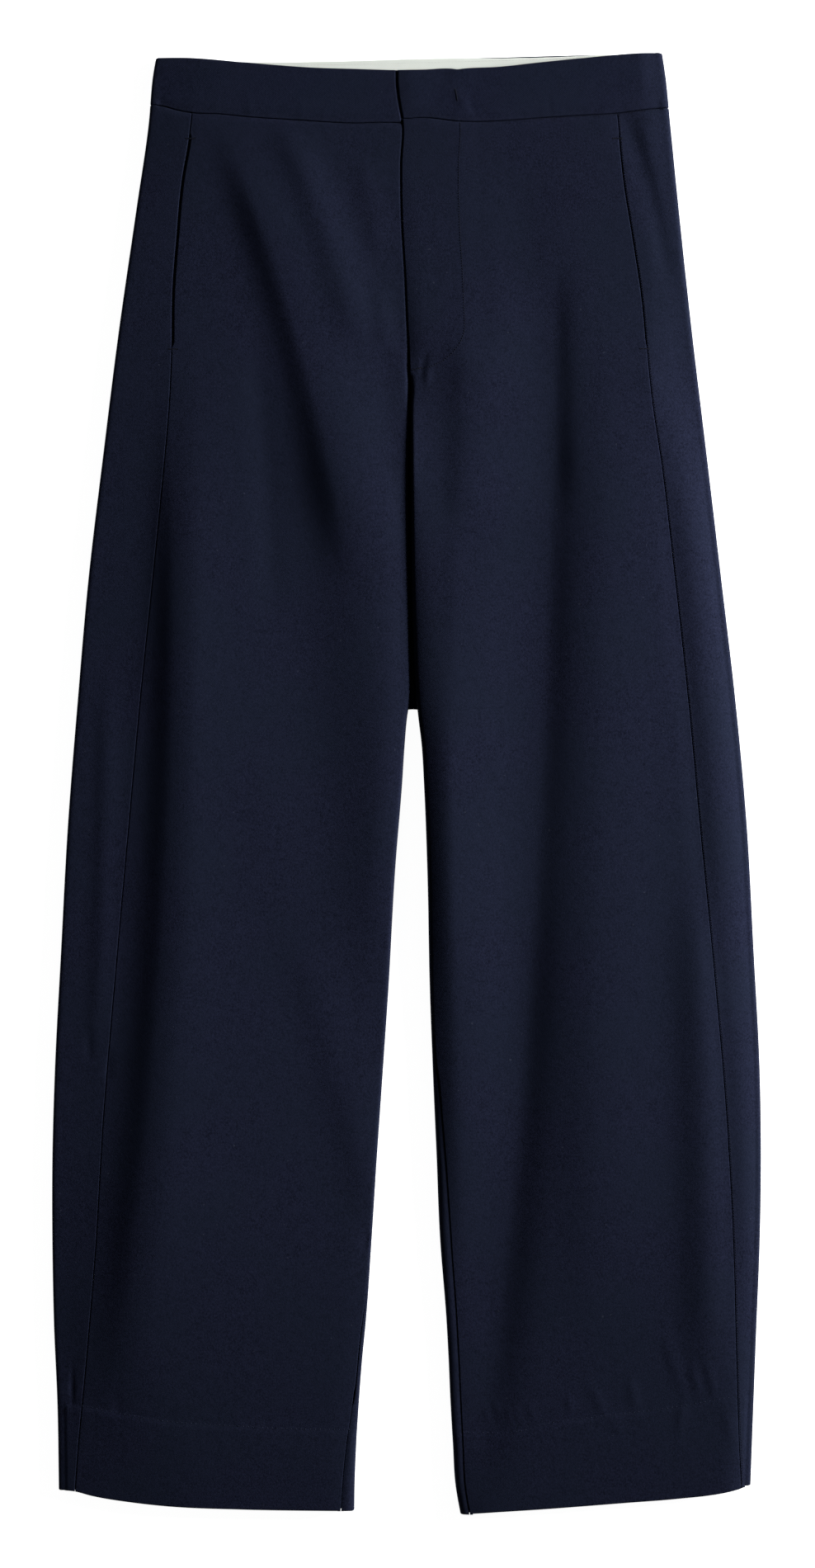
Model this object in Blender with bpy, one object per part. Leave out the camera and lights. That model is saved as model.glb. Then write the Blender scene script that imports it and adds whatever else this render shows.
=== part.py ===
"""Wide-leg trousers laid flat with the front up.

The garment is a flattened tube of cloth that parts into two legs. Every panel is a wall whose
outer skin follows one shared section: flat on the floor underneath, round at the edges, and
lofted with soft folds on top. Sides are named as worn, so the right leg lies on the -X side.
+Y points to the waist and +Z up, with the origin at the middle of the footprint.
Sizes are in millimetres until a mesh is made. "Down" is the distance below the waist's top.
"""

import math
from collections import namedtuple

import bpy
import numpy as np

MM = 0.001
LENGTH = 1040.0
CLOTH = 1.2
WAISTBAND_CLOTH = 2.0
HEM_CLOTH = 2.2
LINING_CLOTH = 1.0
FACING_CLOTH = 1.0
SEAM_GAP = 0.3
INSEAM_GAP = 0.5
EDGE_RADIUS = 4.2
WAIST_SEAM = 50.0
WAISTBAND_DEPTH = 35.0
HEM_DEPTH = 60.0
POCKET_TOP = 64.0
POCKET_BOTTOM = 209.0
POCKET_GAP = 1.7
BARTACK = 4.0
FACING_OUTSIDE = 11.0
FACING_INSIDE = 15.0
FACING_PAST_OPENING = 11.0
FACING_CLEARANCE = 0.8
LINING_BELOW_TOP = 1.2
LINING_PAST_ROLL = 1.5

# The lap: the left front is lifted within the fly's stitch line, and the right one dips below it.
FLY_BOTTOM = 226.0
FLY_WIDTH = 40.0
FLY_STEP = 7.0
LAP_LIFT = 1.3
LAP_DIP = 1.2
LAP_FADE = 28.0
DIP_WIDTH = 12.0
UNDERLAP = 5.0
LAP_ROLL = 30.0

# Below the fly the fronts roll down into the gap between the legs, which part at the crotch.
LEGS_PART = 241.0
LEGS_PARTED = 421.0
NOTCH_TOP = 464.0
CROTCH = 469.0
NOTCH_LIP = 0.8
PAST_ROLL = 2.0

LOFT_RISE = 45.0
FOLD_FADE = 16.0
FOLD_ENDS = 0.25
WAIST_SHAPE_REACH = 60.0
HEM_SHAPE_REACH = 100.0
SIDES_FROM = 120.0
SIDES_REACH = 60.0
LEVEL_FROM = 0.9
LEVEL_SPAN = 0.08
FRONT_END_WRAP = math.radians(62) * EDGE_RADIUS
HALF_TURN = math.pi * EDGE_RADIUS

WOOL_COLOUR = (0.0095, 0.011, 0.0235, 1.0)
LINING_COLOUR = (0.72, 0.75, 0.71, 1.0)

# x of the outer edge of each leg.
Edges = namedtuple("Edges", "down right left")
OUTER_EDGES = [
    Edges(15, -180.5, 184.3),
    Edges(50, -183.7, 187.8),
    Edges(110, -192.3, 193.8),
    Edges(200, -205.3, 203.5),
    Edges(285, -216.0, 213.7),
    Edges(375, -226.7, 224.3),
    Edges(460, -234.2, 234.2),
    Edges(550, -241.3, 242.4),
    Edges(640, -246.2, 247.3),
    Edges(725, -250.6, 251.6),
    Edges(785, -252.3, 252.5),
    Edges(850, -252.3, 251.5),
    Edges(905, -251.2, 249.3),
    Edges(960, -248.8, 247.2),
    Edges(1030, -247.6, 244.6),
]

# x of the inner edge of each leg. Above the fly's bottom it is the lap's edge.
INNER_EDGES = [
    Edges(0, -6.5, -6.5),
    Edges(50, -2.5, -2.5),
    Edges(80, -3.5, -3.5),
    Edges(120, -2.9, -2.9),
    Edges(160, -0.6, -0.6),
    Edges(190, 0.7, 0.7),
    Edges(226, 1.2, 2.6),
    Edges(268, 1.5, 3.5),
    Edges(344, 1.2, 4.7),
    Edges(420, 2.0, 6.0),
    Edges(462, 1.9, 7.5),
    Edges(474, 0.2, 8.4),
    Edges(491, -1.3, 10.5),
    Edges(520, -3.2, 12.3),
    Edges(579, -8.0, 14.6),
    Edges(667, -13.0, 16.5),
    Edges(726, -17.0, 18.7),
    Edges(784, -21.0, 21.2),
    Edges(843, -24.8, 23.7),
    Edges(902, -28.9, 28.3),
    Edges(931, -31.7, 29.9),
    Edges(961, -34.0, 31.2),
    Edges(990, -35.8, 32.9),
    Edges(1020, -37.0, 34.8),
    Edges(1040, -37.2, 38.3),
]

# x of each side seam, which lies forward of the outer edge.
SIDE_SEAMS = [
    Edges(40, -152.5, 149.5),
    Edges(63, -155.2, 151.6),
    Edges(91, -160.0, 154.5),
    Edges(131, -163.8, 160.8),
    Edges(172, -166.8, 167.0),
    Edges(212, -167.3, 170.8),
    Edges(243, -168.5, 173.8),
    Edges(300, -173.2, 182.0),
    Edges(360, -179.2, 189.0),
    Edges(460, -189.6, 200.0),
    Edges(550, -197.8, 208.4),
    Edges(655, -207.2, 218.6),
    Edges(755, -215.6, 227.2),
    Edges(860, -222.0, 232.7),
    Edges(931, -228.0, 234.5),
    Edges(1000, -234.4, 236.9),
    Edges(1025, -236.1, 238.3),
]

# How far each inseam has crept round the inner edge, from under the leg up onto its top.
INSEAM_WRAPS = [
    Edges(469, 4.4, 4.4),
    Edges(579, 4.8, 5.4),
    Edges(637, 5.2, 8.2),
    Edges(667, 5.4, 10.2),
    Edges(726, 6.0, 12.8),
    Edges(784, 6.7, 15.2),
    Edges(843, 8.6, 16.8),
    Edges(872, 10.8, 16.6),
    Edges(902, 12.4, 16.3),
    Edges(961, 13.4, 16.3),
    Edges(990, 16.0, 16.1),
    Edges(1030, 18.2, 15.7),
]

# The waistband's edges, across the garment.
Across = namedtuple("Across", "x down")
FRONT_TOP_EDGE = [
    Across(-180, 3.8),
    Across(-157, 3.9),
    Across(-115, 7.3),
    Across(-66, 10.9),
    Across(-4, 14.3),
    Across(48, 11.1),
    Across(92, 7.3),
    Across(126, 3.9),
    Across(167, 0.5),
    Across(184, 0.3),
]
BACK_TOP_EDGE = [
    Across(-180, 4.0),
    Across(-148, 5.0),
    Across(-107, 5.8),
    Across(-37, 5.0),
    Across(4, 3.9),
    Across(63, 2.6),
    Across(122, 1.0),
    Across(184, 0.3),
]
WAIST_SEAM_LINE = [
    Across(-183, 37.5),
    Across(-173, 38.6),
    Across(-152, 42.9),
    Across(-112, 46.1),
    Across(-76, 48.5),
    Across(-40, 50.2),
    Across(-4, 49.6),
    Across(15, 48.2),
    Across(37, 49.0),
    Across(69, 48.5),
    Across(120, 45.2),
    Across(149, 43.2),
    Across(171, 40.6),
    Across(187, 39.2),
]
RIGHT_HEM_LINE = [
    Across(-248, 1022.7),
    Across(-236, 1023.6),
    Across(-225, 1026.4),
    Across(-196, 1031.0),
    Across(-172, 1033.5),
    Across(-117, 1035.8),
    Across(-37, 1037.0),
]
LEFT_HEM_LINE = [
    Across(38, 1039.8),
    Across(59, 1038.3),
    Across(97, 1035.8),
    Across(158, 1031.1),
    Across(190, 1028.6),
    Across(227, 1024.0),
    Across(246, 1019.4),
]

# How high the upper layer stands above its edges between the folds.
Loft = namedtuple("Loft", "down height")
LOFTS = [
    Loft(0, 4.6),
    Loft(60, 4.6),
    Loft(150, 5.2),
    Loft(300, 5.8),
    Loft(460, 5.6),
    Loft(700, 6.0),
    Loft(960, 5.6),
    Loft(1040, 5.2),
]

# The largest folds: long soft ridges, and troughs where the height is negative.
Fold = namedtuple("Fold", "top_down top_x mid_down mid_x low_down low_x half_width height")
FOLDS = [
    Fold(85, -120, 330, -72, 700, -20, 17, -3.4),
    Fold(60, -92, 170, -60, 300, -30, 14, -2.0),
    Fold(200, -168, 560, -178, 930, -212, 16, -2.6),
    Fold(260, -112, 520, -120, 800, -122, 30, 2.4),
    Fold(560, -70, 740, -62, 960, -66, 24, 1.8),
    Fold(640, -160, 800, -176, 990, -176, 18, -1.8),
    Fold(160, 122, 480, 104, 960, 72, 18, -3.0),
    Fold(190, 38, 260, 38, 350, 34, 11, -1.8),
    Fold(230, 50, 520, 58, 820, 58, 20, 2.2),
    Fold(260, 148, 520, 142, 800, 140, 26, 2.4),
    Fold(590, 198, 790, 206, 980, 202, 15, -2.2),
    Fold(70, 172, 120, 182, 240, 194, 9, -1.4),
]

PANEL_ROWS = [
    50, 57, POCKET_TOP - 2, POCKET_TOP + 3, 88, 112, 138, 164, 186,
    POCKET_BOTTOM - 3, POCKET_BOTTOM + 2, FLY_BOTTOM, 236, 247, 262, 284, 312, 342,
    372, 402, 432, 452, NOTCH_TOP, 466.5, CROTCH, 474, 484, 504, 534, 568, 604,
    640, 676, 712, 748, 784, 820, 856, 892, 928, 962,
    LENGTH - HEM_DEPTH - 2, LENGTH - HEM_DEPTH + 2, 1002, 1022, LENGTH,
]
WAISTBAND_ROWS = [0.0, 0.35, 0.7, 1.0]

FRONT_COLUMNS = 12
INNER_COLUMNS = 5
STRIP_COLUMNS = 2
ROLL_COLUMNS = 6
UNDER_COLUMNS = 2
WRAP_COLUMNS = 5
LINING_COLUMNS = 13
FACING_ROWS = 8
FACING_COLUMNS = 4

Leg = namedtuple("Leg", "name side outer inner side_seam inseam_wrap hem_line")


def curve(rows, column, station="down"):
    """A smooth curve through one column of a table, straight past its ends."""
    at = np.array([getattr(row, station) for row in rows], float)
    value = np.array([getattr(row, column) for row in rows], float)
    slope = np.gradient(value, at)

    def read(x):
        x = np.asarray(x, float)
        i = np.clip(np.searchsorted(at, x) - 1, 0, len(at) - 2)
        step = at[i + 1] - at[i]
        f = (x - at[i]) / step
        t = np.clip(f, 0.0, 1.0)
        rise = t * t * (3 - 2 * t)
        bend = t * (1 - t) * step * ((1 - t) * slope[i] - t * slope[i + 1])
        past = (f - t) * step * np.where(f > 1, slope[i + 1], slope[i])
        return value[i] * (1 - rise) + value[i + 1] * rise + bend + past

    return read


def ease(x):
    """0 below 0, 1 above 1, and smooth between."""
    t = np.clip(x, 0.0, 1.0)
    return t * t * (3 - 2 * t)


RIGHT = Leg(
    "right", -1, curve(OUTER_EDGES, "right"), curve(INNER_EDGES, "right"),
    curve(SIDE_SEAMS, "right"), curve(INSEAM_WRAPS, "right"), curve(RIGHT_HEM_LINE, "down", "x"),
)
LEFT = Leg(
    "left", 1, curve(OUTER_EDGES, "left"), curve(INNER_EDGES, "left"),
    curve(SIDE_SEAMS, "left"), curve(INSEAM_WRAPS, "left"), curve(LEFT_HEM_LINE, "down", "x"),
)
FRONT_TOP = curve(FRONT_TOP_EDGE, "down", "x")
BACK_TOP = curve(BACK_TOP_EDGE, "down", "x")
FRONT_SEAM = curve(WAIST_SEAM_LINE, "down", "x")
LOFT = curve(LOFTS, "height")


def back_seam(x):
    """The back's waist seam runs parallel to its top edge and meets the front's at the sides."""
    sides = ease((np.abs(x) - SIDES_FROM) / SIDES_REACH)
    return (1 - sides) * (BACK_TOP(x) + WAISTBAND_DEPTH) + sides * FRONT_SEAM(x)


def panel_row(leg, nominal):
    """Where a row of a leg's panels runs: parallel to the waist seam above and the hem below."""
    near_waist = 1 - ease((nominal - WAIST_SEAM) / WAIST_SHAPE_REACH)
    near_hem = ease((nominal - LENGTH + HEM_DEPTH) / HEM_SHAPE_REACH + 1)

    def place(x, front):
        waist = front * FRONT_SEAM(x) + (1 - front) * back_seam(x) - WAIST_SEAM
        gap = SEAM_GAP / 2 * (nominal <= WAIST_SEAM)
        return nominal + near_waist * waist + near_hem * (leg.hem_line(x) - LENGTH) + gap

    return place


def waistband_row(share):
    """Where a row of the waistband runs, from its top edge at 0 to the waist seam at 1."""

    def place(x, front):
        top = front * FRONT_TOP(x) + (1 - front) * BACK_TOP(x)
        seam = front * FRONT_SEAM(x) + (1 - front) * back_seam(x) - SEAM_GAP / 2
        return (1 - share) * top + share * seam

    return place


def meet(place, front, line, guess):
    """The x and the distance down where a row crosses a line given as x for each distance down."""
    down = guess
    for _ in range(3):
        down = float(place(line(down), front))
    return float(line(down)), down


def fold_height(x, down):
    """The sum of the folds at a place."""
    total = np.zeros(np.broadcast(x, down).shape)
    for fold in FOLDS:
        span = fold.low_down - fold.top_down
        t = (down - fold.top_down) / span
        m = (fold.mid_down - fold.top_down) / span
        path = (
            fold.top_x * (t - m) * (t - 1) / m
            + fold.mid_x * t * (t - 1) / (m * (m - 1))
            + fold.low_x * t * (t - m) / (1 - m)
        )
        ends = ease(t / FOLD_ENDS) * ease((1 - t) / FOLD_ENDS)
        total = total + fold.height * ends * np.exp(-(((x - path) / fold.half_width) ** 2))
    return total


def top_height(leg, q, down):
    """Height of the upper layer's outer skin. q is x towards the leg's outer side."""
    q = np.asarray(q, float)
    from_outer = leg.side * leg.outer(down) - EDGE_RADIUS - q
    from_inner = q - (leg.side * leg.inner(down) + EDGE_RADIUS)
    legs_part = ease((down - LEGS_PART) / (LEGS_PARTED - LEGS_PART))
    inner = 1 - legs_part * (1 - ease(from_inner / LOFT_RISE))
    fold_inner = 1 - legs_part * (1 - ease(from_inner / FOLD_FADE))
    height = LOFT(down) * ease(from_outer / LOFT_RISE) * inner
    height = height + fold_height(leg.side * q, down) * ease(from_outer / FOLD_FADE) * fold_inner
    return 2 * EDGE_RADIUS + np.maximum(height, 0.0) + lap_height(leg, q, down)


def lap_height(leg, q, down):
    """The left front is lifted where it laps over the right one, which dips under it."""
    edge = LEFT.inner(down)
    along = 1 - ease((down - FLY_BOTTOM) / LAP_FADE + 0.5)
    if leg is LEFT:
        return LAP_LIFT * along * (1 - ease((q - edge - FLY_WIDTH) / FLY_STEP))
    return -LAP_DIP * along * (1 - ease((q + edge) / DIP_WIDTH))


def inner_edge_point(leg, wrap, down):
    """A point of the leg's section by its distance round the inner edge from below."""
    centre = leg.side * leg.inner(down) + EDGE_RADIUS
    crown = float(top_height(leg, centre, down))
    angle = min(max(wrap / EDGE_RADIUS, 0.0), math.pi)
    q = centre - EDGE_RADIUS * math.sin(angle) + max(wrap - HALF_TURN, 0.0) - min(wrap, 0.0)
    if wrap > HALF_TURN:
        return q, float(top_height(leg, q, down))
    return q, crown - EDGE_RADIUS * (1 + math.cos(angle))


def front_points(leg, place, guess, side_gap):
    """One row of a front panel's outer skin, from the side seam in to the inner edge."""
    seam_x, _ = meet(place, 1, leg.side_seam, guess)
    inner_x, inner_down = meet(place, 1, leg.inner, guess)
    wrap = FRONT_END_WRAP
    if inner_down > CROTCH:
        wrap = float(leg.inseam_wrap(inner_down)) + INSEAM_GAP / 2
    turn = max(HALF_TURN, wrap) + PAST_ROLL
    start = leg.side * seam_x - side_gap
    stop = leg.side * inner_x + EDGE_RADIUS + turn - HALF_TURN
    points = []
    for q in np.linspace(start, stop, FRONT_COLUMNS + 1):
        down = float(place(leg.side * q, 1))
        points.append((q, down, float(top_height(leg, q, down))))
    if leg is LEFT:
        edge = leg.side * inner_x
        rolled = float(ease((inner_down - FLY_BOTTOM) / LAP_ROLL))
    else:
        edge = leg.side * LEFT.inner(inner_down) - UNDERLAP
        rolled = float(ease((inner_down - FLY_BOTTOM) / LAP_ROLL + 1))
    for share in np.linspace(0, 1, INNER_COLUMNS + 1)[1:]:
        q = stop + (edge - stop) * share
        level = float(top_height(leg, q, inner_down))
        roll_q, roll_z = inner_edge_point(leg, turn + (wrap - turn) * share, inner_down)
        points.append(
            (q + (roll_q - q) * rolled, inner_down, level + (roll_z - level) * rolled)
        )
    return points


def back_points(leg, place, guess):
    """One row of a back panel's outer skin, from the centre back or inseam to the side seam."""
    seam_x, _ = meet(place, 1, leg.side_seam, guess)
    outer_x, _ = meet(place, 1, leg.outer, guess)
    inner_x, inner_down = meet(place, 0, leg.inner, guess)
    centre = leg.side * inner_x + EDGE_RADIUS
    points = []
    if inner_down > CROTCH:
        wrap = float(leg.inseam_wrap(inner_down)) - INSEAM_GAP / 2
        for distance in np.linspace(wrap, -PAST_ROLL, WRAP_COLUMNS + 1):
            q, z = inner_edge_point(leg, distance, inner_down)
            points.append((q, inner_down, z))
    else:
        middle = leg.side * (LEFT.inner(inner_down) + RIGHT.inner(inner_down)) / 2
        reach = centre - middle - SEAM_GAP / 2
        notch = max((inner_down - NOTCH_TOP) / (CROTCH - NOTCH_TOP), 0.0)
        reach = NOTCH_LIP + (reach - NOTCH_LIP) * math.sqrt(1 - min(notch, 1.0) ** 2)
        for q in np.linspace(centre - reach, centre + PAST_ROLL, WRAP_COLUMNS + 1):
            points.append((q, float(place(leg.side * q, 0)), 0.0))
    roll = leg.side * outer_x - EDGE_RADIUS
    for q in np.linspace(centre + PAST_ROLL, roll, UNDER_COLUMNS + 1)[1:]:
        points.append((q, float(place(leg.side * q, 0)), 0.0))
    for turn in np.linspace(0, 1, ROLL_COLUMNS + 1)[1:]:
        angle = math.pi * turn
        q = roll + EDGE_RADIUS * math.sin(angle)
        down = float(place(outer_x, turn))
        points.append((q, down, EDGE_RADIUS * (1 - math.cos(angle))))
    for q in np.linspace(roll, leg.side * seam_x + SEAM_GAP / 2, STRIP_COLUMNS + 1)[1:]:
        down = float(place(leg.side * q, 1))
        points.append((q, down, float(top_height(leg, q, down))))
    return points


def side_gap(nominal):
    """The front panel's gap to the side seam, which opens along the pocket."""
    below_top = ease((nominal - POCKET_TOP) / BARTACK + 0.25)
    above_bottom = ease((POCKET_BOTTOM - nominal) / BARTACK + 0.25)
    return SEAM_GAP / 2 + (POCKET_GAP - SEAM_GAP / 2) * float(below_top * above_bottom)


def to_world(leg, rows):
    """Rows of (q, down, height) as an array of x, y, z."""
    grid = np.array(rows, float)
    return np.stack(
        [leg.side * grid[..., 0], LENGTH / 2 - grid[..., 1], grid[..., 2]], axis=-1
    )


def outward_normals(skin, side):
    """A unit normal at each grid point, carried on straight past the panel's edges.

    Nearly level stretches point straight up or down, so that panels meet evenly at their seams.
    """
    across = skin[:-1, 1:] - skin[1:, :-1]
    along = skin[1:, 1:] - skin[:-1, :-1]
    cell = np.cross(across, along) * side
    cell /= np.linalg.norm(cell, axis=-1, keepdims=True)
    cell = np.concatenate([2 * cell[:1] - cell[1:2], cell, 2 * cell[-1:] - cell[-2:-1]])
    cell = np.concatenate(
        [2 * cell[:, :1] - cell[:, 1:2], cell, 2 * cell[:, -1:] - cell[:, -2:-1]], axis=1
    )
    corner = cell[:-1, :-1] + cell[1:, :-1] + cell[:-1, 1:] + cell[1:, 1:]
    corner /= np.linalg.norm(corner, axis=-1, keepdims=True)
    corner[..., :2] *= 1 - ease((np.abs(corner[..., 2:]) - LEVEL_FROM) / LEVEL_SPAN)
    return corner / np.linalg.norm(corner, axis=-1, keepdims=True)


def principled(name, colour, roughness):
    material = bpy.data.materials.new(name)
    material.use_nodes = True
    shader = material.node_tree.nodes["Principled BSDF"]
    shader.inputs["Base Color"].default_value = colour
    shader.inputs["Roughness"].default_value = roughness
    shader.inputs["Metallic"].default_value = 0.0
    material.diffuse_color = colour
    return material


def wall(name, skin, side, thickness, material, garment):
    """A closed wall between the outer skin and its copy moved inward by the thickness."""
    inner = skin - outward_normals(skin, side) * np.asarray(thickness, float)[..., None]
    rows, columns = skin.shape[:2]
    count = rows * columns
    faces = []

    def add(face):
        faces.append(face if side > 0 else face[::-1])

    def index(row, column):
        return row * columns + column

    for r in range(rows - 1):
        for c in range(columns - 1):
            quad = (index(r, c), index(r, c + 1), index(r + 1, c + 1), index(r + 1, c))
            add(quad)
            add(tuple(i + count for i in quad[::-1]))
    rim = [index(0, c) for c in range(columns)]
    rim += [index(r, columns - 1) for r in range(1, rows)]
    rim += [index(rows - 1, c) for c in range(columns - 2, -1, -1)]
    rim += [index(r, 0) for r in range(rows - 2, 0, -1)]
    for a, b in zip(rim, rim[1:] + rim[:1]):
        add((b, a, a + count, b + count))

    points = np.concatenate([skin.reshape(-1, 3), inner.reshape(-1, 3)]) * MM
    mesh = bpy.data.meshes.new(name)
    mesh.from_pydata(points.tolist(), [], faces)
    mesh.materials.append(material)
    mesh.shade_smooth()
    mesh.set_sharp_from_angle(angle=math.radians(50))
    piece = bpy.data.objects.new(name, mesh)
    piece.parent = garment
    bpy.context.scene.collection.objects.link(piece)
    return piece


def leg_panels(leg, material, garment):
    """The front and back panel of one leg, each with its turned-up hem as a thicker band."""
    front = []
    back = []
    for nominal in PANEL_ROWS:
        place = panel_row(leg, nominal)
        front.append(front_points(leg, place, nominal, side_gap(nominal)))
        back.append(back_points(leg, place, nominal))
    hem = np.array(PANEL_ROWS)[:, None] > LENGTH - HEM_DEPTH
    thickness = np.where(hem, HEM_CLOTH, CLOTH)
    for name, rows in (("front_", front), ("back_", back)):
        skin = to_world(leg, rows)
        wall(name + leg.name, skin, leg.side, thickness + 0 * skin[..., 0], material, garment)


def waistband(leg, material, garment):
    """Half the waistband, from the centre back round the side to the centre front."""
    rows = []
    for share in WAISTBAND_ROWS:
        place = waistband_row(share)
        guess = WAIST_SEAM * share
        rows.append(
            back_points(leg, place, guess)[:-1] + front_points(leg, place, guess, 0.0)
        )
    skin = to_world(leg, rows)
    thickness = np.full(skin.shape[:2], WAISTBAND_CLOTH)
    wall("waistband_" + leg.name, skin, leg.side, thickness, material, garment)


def waistband_lining(material, garment):
    """The pale strip inside the back of the waistband, seen over the front's dipped edge."""
    margin = EDGE_RADIUS + LINING_PAST_ROLL
    height = WAISTBAND_CLOTH + SEAM_GAP + LINING_CLOTH
    across = np.linspace(
        float(LEFT.outer(0)) - margin, float(RIGHT.outer(0)) + margin, LINING_COLUMNS + 1
    )
    rows = []
    for below_top in np.linspace(LINING_BELOW_TOP, WAISTBAND_DEPTH - LINING_BELOW_TOP, 3):
        rows.append([(x, float(BACK_TOP(x)) + below_top, height) for x in across])
    skin = to_world(LEFT, rows)
    thickness = np.full(skin.shape[:2], LINING_CLOTH)
    wall("waistband_lining", skin, LEFT.side, thickness, material, garment)


def pocket_facing(leg, material, garment):
    """The strip of cloth behind the pocket opening in the side seam."""
    below_skin = CLOTH + FACING_CLEARANCE
    top = POCKET_TOP - FACING_PAST_OPENING
    bottom = POCKET_BOTTOM + FACING_PAST_OPENING
    rows = []
    for down in np.linspace(top, bottom, FACING_ROWS + 1):
        seam = leg.side * float(leg.side_seam(down))
        row = []
        for q in np.linspace(seam + FACING_OUTSIDE, seam - FACING_INSIDE, FACING_COLUMNS + 1):
            row.append((q, down, float(top_height(leg, q, down)) - below_skin))
        rows.append(row)
    skin = to_world(leg, rows)
    thickness = np.full(skin.shape[:2], FACING_CLOTH)
    wall("pocket_facing_" + leg.name, skin, leg.side, thickness, material, garment)


def build():
    for old in list(bpy.data.objects):
        bpy.data.objects.remove(old, do_unlink=True)
    garment = bpy.data.objects.new("trousers", None)
    bpy.context.scene.collection.objects.link(garment)
    wool = principled("navy_wool", WOOL_COLOUR, 0.85)
    lining = principled("pale_lining", LINING_COLOUR, 0.7)
    for leg in (RIGHT, LEFT):
        leg_panels(leg, wool, garment)
        waistband(leg, wool, garment)
        pocket_facing(leg, wool, garment)
    waistband_lining(lining, garment)


build()
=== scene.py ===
"""The look of the wide-leg trousers: cloth shells, stitches, materials, floor, light and camera.

Each cloth piece is a thin closed shell on the form of its solid, with finer rows and more folds.
Garment sizes are in millimetres until a mesh is made: x across, "down" below the waist's top, and
q for x towards a leg's outer side. Sides are named as worn, so the right leg lies at -X.
"""

import math
from collections import namedtuple

import bpy
import numpy as np
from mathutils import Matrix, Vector


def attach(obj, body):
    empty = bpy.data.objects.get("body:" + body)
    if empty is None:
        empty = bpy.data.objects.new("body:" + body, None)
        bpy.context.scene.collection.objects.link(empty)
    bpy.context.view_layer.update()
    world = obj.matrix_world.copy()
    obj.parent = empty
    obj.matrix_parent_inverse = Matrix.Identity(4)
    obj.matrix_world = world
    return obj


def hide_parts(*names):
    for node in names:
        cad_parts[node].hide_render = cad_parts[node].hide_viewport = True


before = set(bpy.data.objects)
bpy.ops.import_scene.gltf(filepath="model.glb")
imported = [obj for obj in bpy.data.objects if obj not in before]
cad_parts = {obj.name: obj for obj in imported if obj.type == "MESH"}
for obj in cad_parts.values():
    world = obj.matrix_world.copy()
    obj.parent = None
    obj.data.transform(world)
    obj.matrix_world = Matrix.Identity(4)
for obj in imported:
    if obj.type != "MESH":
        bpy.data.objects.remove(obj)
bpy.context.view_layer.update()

MM = 0.001
LENGTH = 1040.0
CLOTH = 1.1
WAISTBAND_CLOTH = 2.0
HEM_CLOTH = 2.0
LINING_CLOTH = 1.0
FACING_CLOTH = 1.0
SEAM_GAP = 0.3
INSEAM_GAP = 0.5
EDGE_RADIUS = 4.2
WAIST_SEAM = 50.0
WAISTBAND_DEPTH = 35.0
HEM_DEPTH = 60.0
POCKET_TOP = 64.0
POCKET_BOTTOM = 209.0
BARTACK = 4.0
FACING_OUTSIDE = 11.0
FACING_INSIDE = 15.0
FACING_PAST_OPENING = 11.0
FACING_CLEARANCE = 0.8
LINING_PAST_ROLL = 1.5

# How far the cloth's outer face turns in at a seam, at a folded edge, and at a finer seam.
SEAM_TURN = 0.8
FINE_TURN = 0.45
LEAST_EDGE = 0.15

# The lap: the left front is lifted within the fly's stitch line, and the right one dips below it.
FLY_BOTTOM = 226.0
FLY_CURVE = 34.0
FLY_WIDTH = 40.5
FLY_STEP = 16.0
LAP_LIFT = 0.3
LAP_DIP = 1.05
BAND_DIP = 0.9
LAP_FADE = 28.0
DIP_START = 2.0
DIP_WIDTH = 1.9
UNDERLAP = 5.0
LAP_SOFTNESS = 13.0
LAP_SLOPE = 45.0
LAP_RISE_TOP = 0.1
LAP_RISE_MORE = 1.1
LIFT_FADE = 8.0
LOFTS_PART = 200.0
LOFTS_PARTED = 300.0
INNER_ROLL_SHAPE = 0.5
LAP_ROLL = 30.0

# Below the fly the fronts roll down into the gap between the legs, which part at the crotch.
LEGS_PART = 241.0
LEGS_PARTED = 421.0
NOTCH_TOP = 467.2
CROTCH = 469.4
NOTCH_LIP = 0.8
PAST_ROLL = 2.0

FOLD_FADE = 16.0
FOLD_ENDS = 0.25
WAIST_SHAPE_REACH = 60.0
HEM_SHAPE_REACH = 100.0
SIDES_FROM = 120.0
SIDES_REACH = 60.0
LEVEL_FROM = 0.9
LEVEL_SPAN = 0.08
FRONT_END_WRAP = math.radians(62) * EDGE_RADIUS
HALF_TURN = math.pi * EDGE_RADIUS
HEM_STEP = 0.4
HEM_STEP_WIDTH = 3.0

# x of the outer edge of each leg.
Edges = namedtuple("Edges", "down right left")
OUTER_EDGES = [
    Edges(0, -177.8, 182.0),
    Edges(15, -180.5, 184.3),
    Edges(50, -183.7, 187.8),
    Edges(110, -192.3, 193.8),
    Edges(200, -205.3, 203.5),
    Edges(285, -216.0, 213.7),
    Edges(375, -226.7, 224.3),
    Edges(460, -234.2, 234.2),
    Edges(550, -241.3, 242.4),
    Edges(640, -246.2, 247.3),
    Edges(725, -250.6, 251.6),
    Edges(785, -252.3, 252.5),
    Edges(850, -252.3, 251.5),
    Edges(905, -251.2, 249.3),
    Edges(960, -248.8, 247.2),
    Edges(1030, -247.6, 244.6),
]

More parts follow.
